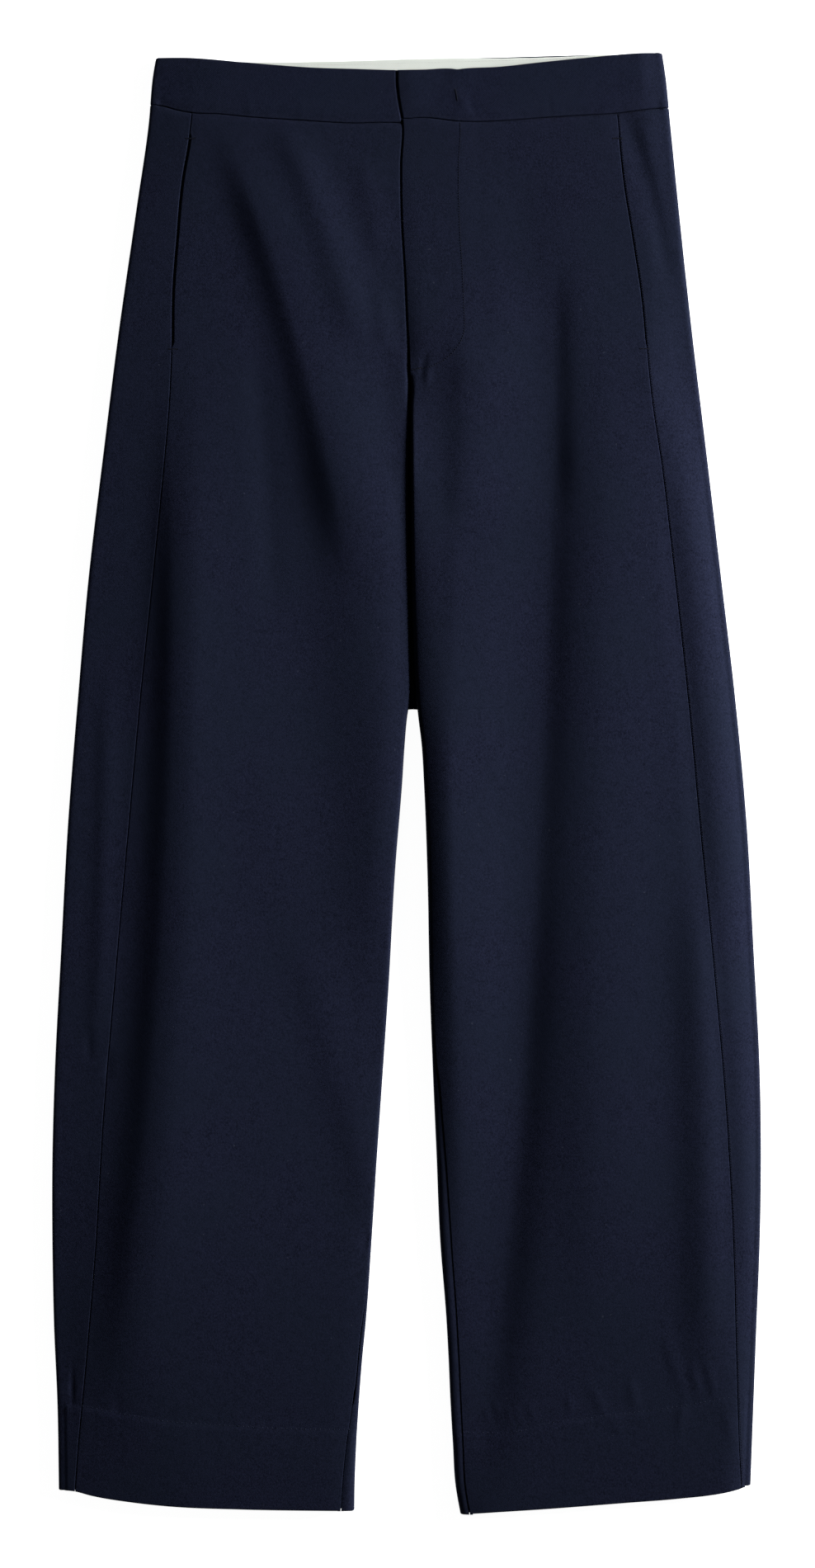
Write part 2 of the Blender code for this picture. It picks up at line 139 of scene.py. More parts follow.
# x of the inner edge of each leg. Above the fly's bottom it is the lap's edge.
INNER_EDGES = [
    Edges(0, -6.5, -6.5),
    Edges(28, -6.0, -6.0),
    Edges(40, -4.1, -4.1),
    Edges(50, -2.5, -2.5),
    Edges(80, -3.5, -3.5),
    Edges(120, -2.9, -2.9),
    Edges(160, -0.6, -0.6),
    Edges(190, 0.7, 0.7),
    Edges(226, 1.2, 2.4),
    Edges(268, 1.5, 2.9),
    Edges(344, 1.2, 3.4),
    Edges(420, 2.0, 4.9),
    Edges(462, 1.9, 7.1),
    Edges(474, 0.2, 8.4),
    Edges(491, -1.3, 10.5),
    Edges(520, -3.2, 12.3),
    Edges(579, -8.0, 14.6),
    Edges(667, -13.0, 16.5),
    Edges(726, -17.0, 18.7),
    Edges(784, -21.0, 21.2),
    Edges(843, -24.8, 23.7),
    Edges(902, -28.9, 28.3),
    Edges(931, -31.7, 29.9),
    Edges(961, -34.0, 31.2),
    Edges(990, -35.8, 32.9),
    Edges(1020, -37.0, 34.8),
    Edges(1040, -37.2, 38.3),
]

# x of each side seam, which lies forward of the outer edge.
SIDE_SEAMS = [
    Edges(40, -152.5, 149.5),
    Edges(63, -155.2, 151.6),
    Edges(91, -160.0, 154.5),
    Edges(131, -163.8, 160.8),
    Edges(172, -166.8, 167.0),
    Edges(212, -167.3, 170.8),
    Edges(243, -168.5, 173.8),
    Edges(300, -173.2, 182.0),
    Edges(360, -179.2, 189.0),
    Edges(460, -189.6, 200.0),
    Edges(550, -197.8, 208.4),
    Edges(655, -207.2, 218.6),
    Edges(755, -215.6, 227.2),
    Edges(860, -222.0, 232.7),
    Edges(931, -228.0, 234.5),
    Edges(1000, -234.4, 236.9),
    Edges(1025, -236.1, 238.3),
]

# How far each inseam has crept round the inner edge, from under the leg up onto its top.
INSEAM_WRAPS = [
    Edges(469, 4.4, 4.4),
    Edges(579, 4.8, 5.4),
    Edges(637, 5.2, 8.2),
    Edges(667, 5.4, 10.2),
    Edges(726, 6.0, 12.8),
    Edges(784, 6.7, 15.2),
    Edges(843, 8.6, 16.8),
    Edges(872, 10.8, 16.6),
    Edges(902, 12.4, 16.3),
    Edges(961, 13.4, 16.3),
    Edges(990, 16.0, 16.1),
    Edges(1030, 18.2, 15.7),
]

# The waistband's edges and the stitch lines that run across the garment.
Across = namedtuple("Across", "x down")
FRONT_TOP_EDGE = [
    Across(-180, 3.8),
    Across(-157, 3.9),
    Across(-115, 7.3),
    Across(-66, 11.0),
    Across(-37, 11.9),
    Across(-6, 12.7),
    Across(11, 12.5),
    Across(33, 11.9),
    Across(36, 12.3),
    Across(40, 11.8),
    Across(65, 10.5),
    Across(94, 7.4),
    Across(126, 4.2),
    Across(167, 0.7),
    Across(184, 0.1),
]
BACK_TOP_EDGE = [
    Across(-180, 4.0),
    Across(-148, 5.0),
    Across(-107, 5.8),
    Across(-37, 5.0),
    Across(4, 3.9),
    Across(63, 2.6),
    Across(122, 1.0),
    Across(184, 0.3),
]
RIGHT_WAIST_SEAM = [
    Across(-183, 37.3),
    Across(-173, 38.4),
    Across(-165, 40.8),
    Across(-153, 43.1),
    Across(-135, 43.9),
    Across(-112, 46.1),
    Across(-76, 48.4),
    Across(-40, 50.4),
    Across(-16, 50.0),
    Across(4, 50.2),
]
LEFT_WAIST_SEAM = [
    Across(-8, 47.4),
    Across(15, 46.8),
    Across(37, 49.2),
    Across(69, 48.7),
    Across(94, 46.8),
    Across(120, 45.2),
    Across(149, 43.4),
    Across(171, 40.6),
    Across(187, 39.3),
]
RIGHT_HEM_LINE = [
    Across(-248, 1022.7),
    Across(-236, 1023.6),
    Across(-225, 1026.4),
    Across(-196, 1031.0),
    Across(-172, 1033.5),
    Across(-117, 1035.8),
    Across(-37, 1037.0),
]
LEFT_HEM_LINE = [
    Across(38, 1039.8),
    Across(59, 1038.3),
    Across(97, 1035.8),
    Across(158, 1031.1),
    Across(190, 1028.6),
    Across(227, 1024.0),
    Across(246, 1019.4),
]
RIGHT_HEM_STITCHES = [
    Across(-230, 962.4),
    Across(-170, 973.0),
    Across(-140, 975.2),
    Across(-80, 978.3),
    Across(-36, 979.0),
]
LEFT_HEM_STITCHES = [
    Across(33, 980.6),
    Across(50, 981.3),
    Across(84, 979.4),
    Across(96, 975.6),
    Across(129, 970.6),
    Across(168, 965.9),
    Across(194, 962.4),
    Across(214, 958.9),
    Across(236, 954.8),
]

# How high the upper layer stands above its edges between the folds, and how it rises there.
Loft = namedtuple("Loft", "down right left right_rise left_rise")
LOFTS = [
    Loft(0, 1.6, 2.0, 40, 14),
    Loft(60, 1.3, 1.5, 40, 16),
    Loft(110, 1.1, 1.5, 40, 18),
    Loft(168, 0.9, 1.9, 40, 26),
    Loft(226, 0.9, 4.2, 40, 34),
    Loft(290, 0.9, 5.4, 42, 30),
    Loft(460, 0.9, 5.6, 44, 30),
    Loft(700, 1.0, 5.2, 44, 30),
    Loft(820, 1.4, 4.6, 50, 25),
    Loft(900, 2.4, 4.0, 60, 22),
    Loft(960, 3.4, 3.6, 80, 20),
    Loft(1040, 4.4, 3.4, 110, 20),
]
INNER_RISE = 20.0
RIGHT_INNER_FALL = 0.28
LEFT_INNER_FALL = 0.42
RIGHT_ROLL_SHAPE = 0.5
LEFT_ROLL_SHAPE = 0.9
GROOVE_DEPTH = 0.7
GROOVE_ABOVE = 5.0
GROOVE_BELOW = 1.8
VALLEY_DEPTH = 0.8
VALLEY_WIDTH = 8.0
VALLEY_FROM = 250.0
VALLEY_GROWS_OVER = 120.0
VALLEY_TO = 980.0
VALLEY_FADES_OVER = 200.0
CREASE_FADE = 3.0
RIGHT_ROUNDING = 1.6
LEFT_TOP_ROUNDING = 1.8
LEFT_ROUNDING = 3.0
LEFT_ROUNDS_FROM = 215.0
LEFT_ROUNDS_OVER = 130.0

# Long soft folds. A crest has its own width on either side, and a negative height is a trough.
# Its widths grow from top to foot by the share named.
Fold = namedtuple(
    "Fold",
    "top_down top_x mid_down mid_x low_down low_x right_width left_width growth height",
)
FOLDS = [
    Fold(150, -152, 560, -150, 1020, -196, 32, 80, 0.4, 4.6),
    Fold(230, -168, 560, -169, 1000, -212, 14, 34, 0.6, 2.5),
    Fold(40, -134, 165, -88, 390, -36, 15, 46, 0.3, 3.8),
    Fold(190, -60, 430, -18, 705, -1, 40, 46, 0.2, 4.8),
    Fold(42, -92, 120, -60, 222, -30, 13, 15, 0.2, 1.9),
    Fold(70, -34, 105, -26, 150, -18, 8, 8, 0.0, 0.5),
    Fold(165, -20, 185, -17, 215, -14, 6, 6, 0.0, 0.5),
    Fold(205, -3, 250, -1, 320, -1, 9, 8, 0.0, 0.8),
    Fold(620, -76, 726, -48, 860, -10, 15, 22, 0.0, 1.0),
    Fold(480, -104, 580, -84, 680, -62, 26, 30, 0.0, 0.6),
    Fold(190, -110, 300, -100, 420, -96, 9, 9, 0.0, -0.5),
    Fold(430, -213, 560, -215, 740, -222, 7, 9, 0.0, 0.7),
    Fold(190, 43, 245, 43, 345, 42, 13, 24, 0.0, 1.4),
    Fold(250, 42, 520, 34, 900, 46, 14, 32, 0.2, 1.7),
    Fold(60, 80, 140, 84, 260, 96, 22, 24, 0.0, -0.8),
    Fold(140, 105, 215, 105, 340, 106, 30, 10, 0.0, -1.6),
    Fold(180, 104, 560, 92, 1060, 48, 38, 15, 0.4, -2.2),
    Fold(560, 90, 800, 74, 1100, 30, 30, 19, 0.2, -1.3),
    Fold(140, 150, 430, 140, 960, 134, 28, 40, 0.0, 2.8),
    Fold(560, 204, 770, 211, 980, 215, 16, 14, 0.0, 2.3),
    Fold(30, 150, 105, 175, 175, 194, 9, 7, 0.0, -1.1),
]

# Short creases and puckers: along is half the length and turn is from the garment's length.
Crease = namedtuple("Crease", "x down along across turn height")
CREASES = [
    Crease(30, 26, 13, 4.0, -60, 0.4),
    Crease(3, 22, 16, 9.0, -8, 0.5),
    Crease(27, 22, 14, 9.0, -15, -0.5),
    Crease(-149, 32, 9, 3.0, 0, 0.2),
    Crease(-112, 38, 8, 3.0, 0, 0.2),
    Crease(-75, 40, 8, 3.0, 0, 0.2),
    Crease(40, 36, 7, 2.4, -40, 0.4),
    Crease(47, 41, 6, 1.8, -25, -0.4),
    Crease(102, 38, 6, 1.4, -5, -0.25),
    Crease(149, 30, 12, 2.0, 5, -0.2),
    Crease(12, 222, 7, 2.2, 10, -0.7),
    Crease(15, 231, 6, 2.4, 0, 0.6),
    Crease(-29, 845, 5, 3.0, 20, -0.6),
    Crease(-238, 950, 12, 2.0, 0, -0.5),
    Crease(172, 235, 8, 8.0, 0, 0.5),
    Crease(-226, 708, 8, 3.0, 0, -0.4),
    Crease(-212, 722, 9, 2.5, 5, -0.4),
    Crease(57, 968, 6, 2.2, -20, 0.3),
    Crease(65, 965, 6, 2.0, -22, 0.35),
    Crease(72, 967, 6, 2.0, -18, 0.35),
    Crease(78, 966, 5, 2.0, -20, 0.3),
    Crease(89, 967, 6, 2.2, -20, 0.3),
    Crease(116, 961, 7, 2.6, -10, 0.4),
    Crease(136, 959, 13, 3.6, -24, 0.4),
    Crease(149, 975, 9, 3.2, -25, 0.25),
    Crease(161, 954, 11, 3.4, -12, 0.45),
    Crease(190, 932, 20, 4.2, -18, 0.45),
    Crease(205, 943, 11, 2.8, -12, 0.45),
    Crease(216, 942, 12, 2.8, -15, 0.45),
    Crease(195, 972, 13, 3.0, 8, 0.4),
    Crease(229, 976, 15, 3.6, -18, 0.35),
    Crease(-205, 965, 10, 3.0, -10, -0.2),
    Crease(-168, 966, 9, 3.0, 5, -0.2),
    Crease(-120, 972, 9, 3.0, -8, 0.15),
]

# Rows run down the leg, closer together where the form turns quickly.
Zone = namedtuple("Zone", "start stop step")
PANEL_ZONES = [
    Zone(50.0, 52.0, 0.5),
    Zone(52.0, 60.0, 2.0),
    Zone(60.0, 70.0, 1.0),
    Zone(70.0, 202.0, 3.0),
    Zone(202.0, 235.0, 1.5),
    Zone(235.0, 457.0, 3.7),
    Zone(457.0, 464.0, 1.75),
    Zone(464.0, 467.0, 1.0),
    Zone(467.0, 469.4, 0.2),
    Zone(469.4, 470.0, 0.6),
    Zone(470.0, 474.0, 1.0),
    Zone(474.0, 904.0, 4.3),
    Zone(904.0, 1036.0, 1.65),
    Zone(1036.0, 1039.0, 1.0),
    Zone(1039.0, 1040.0, 0.2),
]
WAISTBAND_STATIONS = [0, 0.003, 0.008, 0.016, 0.03, 0.06, 0.1, 0.16, 0.23, 0.31, 0.4, 0.5, 0.6,
                      0.7, 0.78, 0.85, 0.9, 0.94, 0.965, 0.98, 0.99, 1.0]
EDGE_STATIONS = [0.0, 0.2, 0.5, 0.9, 1.5, 2.4]
FRONT_COLUMNS = 84
INNER_COLUMNS = 24
STRIP_COLUMNS = 26
ROLL_COLUMNS = 12
UNDER_COLUMNS = 26
WRAP_COLUMNS = 9
LINING_COLUMNS = 60
FACING_ROWS = 24
FACING_COLUMNS = 8

Leg = namedtuple(
    "Leg",
    "name side outer inner side_seam inseam_wrap hem_line waist_seam loft rise hem_stitches "
    "pocket_gap",
)


def curve(rows, column, station="down"):
    """A smooth curve through one column of a table, straight past its ends."""
    at = np.array([getattr(row, station) for row in rows], float)
    value = np.array([getattr(row, column) for row in rows], float)
    slope = np.gradient(value, at)

    def read(x):
        x = np.asarray(x, float)
        i = np.clip(np.searchsorted(at, x) - 1, 0, len(at) - 2)
        step = at[i + 1] - at[i]
        f = (x - at[i]) / step
        t = np.clip(f, 0.0, 1.0)
        rise = t * t * (3 - 2 * t)
        bend = t * (1 - t) * step * ((1 - t) * slope[i] - t * slope[i + 1])
        past = (f - t) * step * np.where(f > 1, slope[i + 1], slope[i])
        return value[i] * (1 - rise) + value[i + 1] * rise + bend + past

    return read


def ease(x):
    """0 below 0, 1 above 1, and smooth between."""
    t = np.clip(x, 0.0, 1.0)
    return t * t * (3 - 2 * t)


def make_leg(name, side, hem_line, waist_seam, hem_stitches, pocket_gap):
    return Leg(
        name, side, curve(OUTER_EDGES, name), curve(INNER_EDGES, name),
        curve(SIDE_SEAMS, name), curve(INSEAM_WRAPS, name), curve(hem_line, "down", "x"),
        curve(waist_seam, "down", "x"), curve(LOFTS, name), curve(LOFTS, name + "_rise"),
        curve(hem_stitches, "down", "x"), pocket_gap,
    )


RIGHT = make_leg(
    "right", -1, RIGHT_HEM_LINE, RIGHT_WAIST_SEAM, RIGHT_HEM_STITCHES, 1.6
)
LEFT = make_leg(
    "left", 1, LEFT_HEM_LINE, LEFT_WAIST_SEAM, LEFT_HEM_STITCHES, 0.55
)
FRONT_TOP = curve(FRONT_TOP_EDGE, "down", "x")
BACK_TOP = curve(BACK_TOP_EDGE, "down", "x")


def back_seam(leg, x):
    """The back's waist seam runs parallel to its top edge and meets the front's at the sides."""
    sides = ease((np.abs(x) - SIDES_FROM) / SIDES_REACH)
    return (1 - sides) * (BACK_TOP(x) + WAISTBAND_DEPTH) + sides * leg.waist_seam(x)


def panel_row(leg, nominal):
    """Where the rows of a leg's panels run: parallel to the waist seam above and the hem below."""
    near_waist = 1 - ease((nominal - WAIST_SEAM) / WAIST_SHAPE_REACH)
    near_hem = ease((nominal - LENGTH + HEM_DEPTH) / HEM_SHAPE_REACH + 1)
    gap = SEAM_GAP / 2 * (nominal <= WAIST_SEAM)

    def place(x, front):
        waist = front * leg.waist_seam(x) + (1 - front) * back_seam(leg, x) - WAIST_SEAM
        return nominal + near_waist * waist + near_hem * (leg.hem_line(x) - LENGTH) + gap * front

    return place


def waistband_row(leg, share):
    """Where the rows of the waistband run, from its top edge at 0 to the waist seam at 1."""

    def place(x, front):
        top = front * FRONT_TOP(x) + (1 - front) * BACK_TOP(x)
        seam = front * (leg.waist_seam(x) - SEAM_GAP / 2) + (1 - front) * back_seam(leg, x)
        return (1 - share) * top + share * seam

    return place


def meet(place, front, line, guess):
    """The x and the distance down where each row crosses a line."""
    down = np.array(guess, float)
    for _ in range(3):
        down = place(line(down), front)
    return line(down), down


def fold_height(x, down):
    """The sum of the folds at each place."""
    total = np.zeros(np.broadcast(x, down).shape)
    for fold in FOLDS:
        t = (down - fold.top_down) / (fold.low_down - fold.top_down)
        m = (fold.mid_down - fold.top_down) / (fold.low_down - fold.top_down)
        path = (
            fold.top_x * (t - m) * (t - 1) / m
            + fold.mid_x * t * (t - 1) / (m * (m - 1))
            + fold.low_x * t * (t - m) / (1 - m)
        )
        ends = ease(t / FOLD_ENDS) * ease((1 - t) / FOLD_ENDS)
        width = np.where(x < path, fold.right_width, fold.left_width)
        width = width * (1 + fold.growth * (t - 0.5))
        total = total + fold.height * ends * np.exp(-(((x - path) / width) ** 2))
    return total


def crease_height(x, down):
    """The sum of the short creases at each place."""
    total = np.zeros(np.broadcast(x, down).shape)
    for crease in CREASES:
        turn = math.radians(crease.turn)
        along = (down - crease.down) * math.cos(turn) - (x - crease.x) * math.sin(turn)
        across = (down - crease.down) * math.sin(turn) + (x - crease.x) * math.cos(turn)
        shape = np.exp(-((along / crease.along) ** 2) - (across / crease.across) ** 2)
        total = total + crease.height * shape
    return total


def seam_height(leg, x, down):
    """The step where the hem's turning ends, and the soft grooves along the seams."""
    total = HEM_STEP * ease((down - leg.hem_stitches(x)) / HEM_STEP_WIDTH)
    from_waist = down - leg.waist_seam(x)
    width = np.where(from_waist < 0, GROOVE_ABOVE, GROOVE_BELOW)
    total = total - GROOVE_DEPTH * np.exp(-((from_waist / width) ** 2))
    if leg is LEFT:
        along = ease((down - VALLEY_FROM) / VALLEY_GROWS_OVER)
        along = along * ease((VALLEY_TO - down) / VALLEY_FADES_OVER)
        from_seam = (x - leg.side_seam(down)) / VALLEY_WIDTH
        total = total - VALLEY_DEPTH * along * np.exp(-(from_seam**2))
    return total


def rounding(x, power):
    """0 below 0, 1 above 1, steepest at 0 as cloth that rounds over an edge."""
    return 1 - (1 - np.clip(x, 0.0, 1.0)) ** power


def outer_rise(leg, from_outer, down):
    """How the upper layer rises from its outer edge."""
    x = from_outer / leg.rise(down)
    if leg is RIGHT:
        return rounding(x, RIGHT_ROUNDING)
    rounded = ease((down - LEFT_ROUNDS_FROM) / LEFT_ROUNDS_OVER)
    flatter = (ease(x) + rounding(x, LEFT_TOP_ROUNDING)) / 2
    return (1 - rounded) * flatter + rounded * rounding(x, LEFT_ROUNDING)


def inner_rise(leg, from_inner, down):
    """How the upper layer rises from its inner edge, once the legs part."""
    legs_part = ease((down - LEGS_PART) / (LEGS_PARTED - LEGS_PART))
    rise = rounding(from_inner / INNER_RISE, 2.0)
    fall = RIGHT_INNER_FALL if leg is RIGHT else LEFT_INNER_FALL
    return 1 - legs_part * fall * (1 - rise)


def loft_at(leg, q, down):
    """The loft, which rises from the right leg's at the lap's edge to the left leg's own."""
    if leg is RIGHT:
        return leg.loft(down) + 0 * q
    together = 1 - ease((down - LOFTS_PART) / (LOFTS_PARTED - LOFTS_PART))
    more = leg.loft(down) - RIGHT.loft(down)
    along_fly = ease((down - WAIST_SEAM) / (FLY_BOTTOM - WAIST_SEAM))
    quick = np.minimum(more, LAP_RISE_TOP + LAP_RISE_MORE * along_fly)
    from_edge = q - leg.inner(down)
    near = quick * (1 - rounding(from_edge / LAP_SOFTNESS, 2.0))
    far = (more - quick) * (1 - rounding(from_edge / LAP_SLOPE, 2.0))
    return leg.loft(down) - together * (near + far)


def top_height(leg, q, down):
    """Height of the upper layer's outer face."""
    q = np.asarray(q, float)
    x = leg.side * q
    from_outer = leg.side * leg.outer(down) - EDGE_RADIUS - q
    from_inner = q - leg.side * leg.inner(down)
    legs_part = ease((down - LEGS_PART) / (LEGS_PARTED - LEGS_PART))
    height = loft_at(leg, q, down) * outer_rise(leg, from_outer, down)
    height = height + fold_height(x, down) * ease(from_outer / FOLD_FADE)
    height = height * inner_rise(leg, from_inner, down)
    small = crease_height(x, down) + seam_height(leg, x, down)
    small = small * ease(from_outer / CREASE_FADE)
    small = small * (1 - legs_part * (1 - ease(from_inner / CREASE_FADE)))
    return 2 * EDGE_RADIUS + np.maximum(height, 0.0) + small + lap_height(leg, q, down)


def fly_width(down):
    """The distance from the lap's edge to the fly's stitch line, which curves back at its end."""
    t = np.clip((down - FLY_BOTTOM + FLY_CURVE) / FLY_CURVE, 0.0, 1.0)
    return FLY_WIDTH * np.sqrt(1 - t**2)


def lap_height(leg, q, down):
    """The left front is lifted where it laps over the right one, which dips under it."""
    edge = LEFT.inner(down)
    if leg is LEFT:
        from_edge = q - edge
        inside = 1 - ease((from_edge - fly_width(down)) / FLY_STEP)
        fade = 1 - ease((down - FLY_BOTTOM) / LIFT_FADE + 0.5)
        return LAP_LIFT * inside * fade
    along = 1 - ease((down - FLY_BOTTOM) / LAP_FADE + 0.5)
    dip = LAP_DIP + BAND_DIP * (down < RIGHT.waist_seam(-q))
    return -dip * along * (1 - ease((q + edge - DIP_START + DIP_WIDTH) / DIP_WIDTH))


def inner_edge_point(leg, wrap, down):
    """Points of the leg's section by their distance round the inner edge from below."""
    centre = leg.side * leg.inner(down) + EDGE_RADIUS
    angle = np.clip(wrap / EDGE_RADIUS, 0.0, math.pi)
    beyond = np.maximum(wrap - HALF_TURN, 0.0)
    reach = np.maximum(np.sin(angle), 0.0) ** INNER_ROLL_SHAPE
    level = np.sign(np.cos(angle)) * np.abs(np.cos(angle)) ** INNER_ROLL_SHAPE
    q = centre - EDGE_RADIUS * reach + beyond - np.minimum(wrap, 0.0)
    z = top_height(leg, q, down) * np.where(wrap > HALF_TURN, 1.0, (1 - level) / 2)
    return q, z


def spread(start, stop, count, near_start=(0.0,), near_stop=(0.0,)):
    """Stations from start to stop, closer together at the ends as the two lists say."""
    length = np.abs(stop - start)
    ends = near_start[-1] + near_stop[-1]
    way = np.sign(stop - start) * np.minimum(1.0, 0.6 * length / max(ends, 0.1))
    first = start + way * np.array(near_start)
    last = stop - way * np.array(near_stop)[::-1]
    share = np.linspace(0, 1, count + 1)[1:-1]
    middle = first[:, -1:] + (last[:, :1] - first[:, -1:]) * share
    return np.concatenate([first, middle, last], axis=1)


def front_skin(leg, place, guess, side_gap):
    """The rows of a front panel's outer face, from the side seam in to the inner edge."""
    seam_x, _ = meet(place, 1, leg.side_seam, guess)
    inner_x, inner_down = meet(place, 1, leg.inner, guess)
    wrap = np.where(
        inner_down > CROTCH, leg.inseam_wrap(inner_down) + INSEAM_GAP / 2, FRONT_END_WRAP
    )
    turn = np.maximum(HALF_TURN, wrap) + PAST_ROLL
    start = leg.side * seam_x - side_gap
    stop = leg.side * inner_x + EDGE_RADIUS + turn - HALF_TURN
    q = spread(start, stop, FRONT_COLUMNS, EDGE_STATIONS)
    down = place(leg.side * q, 1)
    z = top_height(leg, q, down)
    if leg is LEFT:
        edge = leg.side * inner_x
        rolled = ease((inner_down - FLY_BOTTOM) / LAP_ROLL)
    else:
        edge = leg.side * LEFT.inner(inner_down) - UNDERLAP
        rolled = ease((inner_down - FLY_BOTTOM) / LAP_ROLL + 1)
    flat_q = spread(stop, edge, INNER_COLUMNS, (0.0,), EDGE_STATIONS)[:, 1:]
    share = (flat_q - stop) / (edge - stop)
    flat_z = top_height(leg, flat_q, inner_down)
    roll_q, roll_z = inner_edge_point(leg, turn + (wrap - turn) * share, inner_down)
    inner_q = flat_q + (roll_q - flat_q) * rolled
    inner_z = flat_z + (roll_z - flat_z) * rolled
    return np.stack([
        np.concatenate([q, inner_q], axis=1),
        np.concatenate([down, inner_down + 0 * inner_q], axis=1),
        np.concatenate([z, inner_z], axis=1),
    ], axis=-1)


def back_skin(leg, place, guess):
    """The rows of a back panel's outer face, from the centre back or inseam to the side seam."""
    seam_x, _ = meet(place, 1, leg.side_seam, guess)
    outer_x, _ = meet(place, 1, leg.outer, guess)
    inner_x, inner_down = meet(place, 0, leg.inner, guess)
    centre = leg.side * inner_x + EDGE_RADIUS
    share = np.linspace(0, 1, WRAP_COLUMNS + 1)
    wrap = leg.inseam_wrap(inner_down) - INSEAM_GAP / 2
    edge_q, edge_z = inner_edge_point(leg, wrap + (-PAST_ROLL - wrap) * share, inner_down)
    middle = leg.side * (LEFT.inner(inner_down) + RIGHT.inner(inner_down)) / 2
    reach = centre - middle
    notch = np.clip((inner_down - NOTCH_TOP) / (CROTCH - NOTCH_TOP), 0.0, 1.0)
    reach = NOTCH_LIP + (reach - NOTCH_LIP) * (1 - np.sqrt(1 - (1 - notch) ** 2))
    level_q = (centre - reach) + (reach + PAST_ROLL) * share
    parted = inner_down > CROTCH
    wrap_q = np.where(parted, edge_q, level_q)
    wrap_down = np.where(parted, inner_down, place(leg.side * level_q, 0))
    wrap_z = np.where(parted, edge_z, 0.0)
    roll = leg.side * outer_x - EDGE_RADIUS
    under_q = spread(centre + PAST_ROLL, roll, UNDER_COLUMNS)[:, 1:]
    under_down = place(leg.side * under_q, 0)
    around = np.linspace(0, 1, ROLL_COLUMNS + 1)[1:]
    shape = RIGHT_ROLL_SHAPE if leg is RIGHT else LEFT_ROLL_SHAPE
    turn = math.pi * around
    round_q = roll + EDGE_RADIUS * np.sin(turn) ** shape
    round_down = place(outer_x, around)
    level = np.sign(np.cos(turn)) * np.abs(np.cos(turn)) ** shape
    round_z = EDGE_RADIUS * (1 - level) + 0 * round_q
    seam = leg.side * seam_x + SEAM_GAP / 2
    strip_q = spread(roll, seam, STRIP_COLUMNS, (0.0,), EDGE_STATIONS)[:, 1:]
    strip_down = place(leg.side * strip_q, 1)
    strip_z = top_height(leg, strip_q, strip_down)
    return np.stack([
        np.concatenate([wrap_q, under_q, round_q, strip_q], axis=1),
        np.concatenate([wrap_down, under_down, round_down, strip_down], axis=1),
        np.concatenate([wrap_z, 0 * under_q, round_z, strip_z], axis=1),
    ], axis=-1)


def side_gap(leg, nominal):
    """The front panel's gap to the side seam, which opens along the pocket."""
    below_top = ease((nominal - POCKET_TOP) / BARTACK + 0.25)
    above_bottom = ease((POCKET_BOTTOM - nominal) / BARTACK + 0.25)
    return SEAM_GAP / 2 + (leg.pocket_gap - SEAM_GAP / 2) * below_top * above_bottom


def to_world(leg, grid):
    """A grid of (q, down, height) as x, y, z."""
    return np.stack(
        [leg.side * grid[..., 0], LENGTH / 2 - grid[..., 1], grid[..., 2]], axis=-1
    )


def outward_normals(skin, side):
    """A unit normal at each grid point, carried on straight past the panel's edges."""
    across = skin[:-1, 1:] - skin[1:, :-1]
    along = skin[1:, 1:] - skin[:-1, :-1]
    cell = np.cross(across, along) * side
    cell /= np.linalg.norm(cell, axis=-1, keepdims=True)
    cell = np.concatenate([2 * cell[:1] - cell[1:2], cell, 2 * cell[-1:] - cell[-2:-1]])
    cell = np.concatenate(
        [2 * cell[:, :1] - cell[:, 1:2], cell, 2 * cell[:, -1:] - cell[:, -2:-1]], axis=1
    )
    corner = cell[:-1, :-1] + cell[1:, :-1] + cell[:-1, 1:] + cell[1:, 1:]
    corner /= np.linalg.norm(corner, axis=-1, keepdims=True)
    corner[..., :2] *= 1 - ease((np.abs(corner[..., 2:]) - LEVEL_FROM) / LEVEL_SPAN)
    return corner / np.linalg.norm(corner, axis=-1, keepdims=True)


def edge_distances(skin):
    """How far each grid point lies from the top, bottom, first and last edge of its panel."""
    down_steps = np.linalg.norm(np.diff(skin, axis=0), axis=-1)
    side_steps = np.linalg.norm(np.diff(skin, axis=1), axis=-1)
    top = np.concatenate([0 * skin[:1, :, 0], np.cumsum(down_steps, axis=0)])
    first = np.concatenate([0 * skin[:, :1, 0], np.cumsum(side_steps, axis=1)], axis=1)
    return {"top": top, "bottom": top[-1:] - top, "first": first, "last": first[:, -1:] - first}


def turned_edges(skin, thickness, turns):
    """How far the outer face moves in near the edges, and the inner face out at a fold."""
    distances = edge_distances(skin)
    dip = np.zeros(skin.shape[:2])
    lift = np.zeros(skin.shape[:2])
    for edge, turn in turns.items():
        if turn == "fold":
            radius = thickness / 2
        else:
            radius = np.full(skin.shape[:2], turn)
        reach = np.clip(1 - distances[edge] / radius, 0.0, 1.0)
        here = radius * (1 - np.sqrt(1 - reach**2))
        if turn == "fold":
            here = np.minimum(here, radius - LEAST_EDGE)
            lift = np.maximum(lift, here)
        dip = np.maximum(dip, here)
    return dip, lift


def link(name, mesh, material):
    """A new object of the garment, which rides on its one body."""
    mesh.materials.append(material)
    mesh.shade_smooth()
    piece = bpy.data.objects.new(name, mesh)
    bpy.context.scene.collection.objects.link(piece)
    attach(piece, "root")
    return piece


def mesh_of(name, points, faces):
    mesh = bpy.data.meshes.new(name)
    mesh.from_pydata(points.tolist(), [], faces)
    mesh.update()
    return mesh


